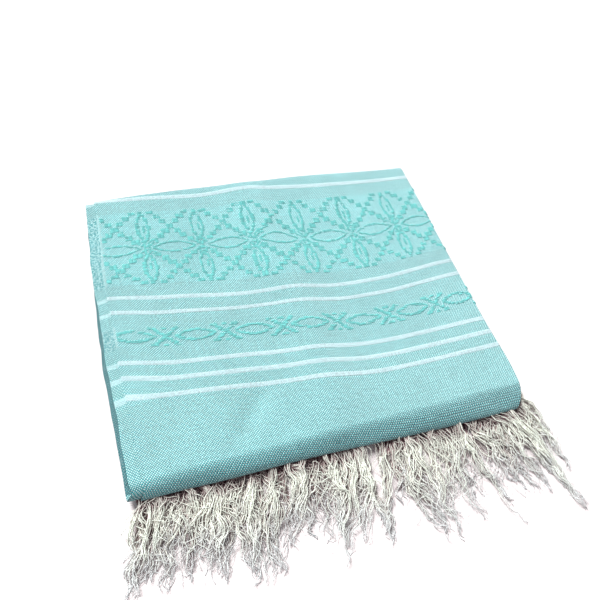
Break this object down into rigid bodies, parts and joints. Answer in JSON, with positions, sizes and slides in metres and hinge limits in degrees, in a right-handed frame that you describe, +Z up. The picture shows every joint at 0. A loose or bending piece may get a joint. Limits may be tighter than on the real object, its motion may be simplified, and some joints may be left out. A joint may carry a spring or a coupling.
{
  "type": "folded fringed bath towel",
  "caption": "Folded handwoven cotton bath towel with white stripes, raised brocade bands and fringed ends, whose upper layers open over the back fold.",
  "frame": {"origin": "centre of the underside of the folded towel's whole box, fringe included", "axes": "+Z up off the surface; -Y the fringed front; +X the closed side, opposite the selvedges"},
  "size_m": [0.4674, 0.492, 0.0276],
  "materials": {
    "ground_cloth": "handwoven cotton, salt and pepper weave of white warp and turquoise weft",
    "white_stripe": "thicker white cotton weft, slightly raised",
    "brocade_yarn": "soft turquoise cotton floats, raised",
    "fringe_cotton": "unbleached loose cotton warp ends, frizzy"
  },
  "bodies": {
    "bottom_layer": {"bottom_panel": "ground_cloth", "outer_back_fold": "ground_cloth", "back_fold_stripes": "white_stripe", "bottom_stripes": "white_stripe", "bottom_narrow_brocade": "brocade_yarn", "front_fringe": "fringe_cotton"},
    "upper_layers": {"top_panel": "ground_cloth", "lower_middle_panel": "ground_cloth", "upper_middle_panel": "ground_cloth", "inner_back_fold": "ground_cloth", "front_fold": "ground_cloth", "top_stripes": "white_stripe", "lower_middle_stripes": "white_stripe", "upper_middle_stripes": "white_stripe", "top_narrow_brocade": "brocade_yarn", "lower_middle_narrow_brocade": "brocade_yarn", "upper_middle_narrow_brocade": "brocade_yarn", "top_wide_brocade": "brocade_yarn", "lower_middle_wide_brocade": "brocade_yarn", "tucked_fringe": "fringe_cotton"}
  },
  "joints": [
    {"name": "unfold", "type": "hinge", "parent": "bottom_layer", "child": "upper_layers", "pos_m": [0, 0.2322, 0.0138], "axis": [-1, 0, 0], "range_deg": [0, 180], "deforming": ["outer_back_fold", "back_fold_stripes"]}
  ]
}
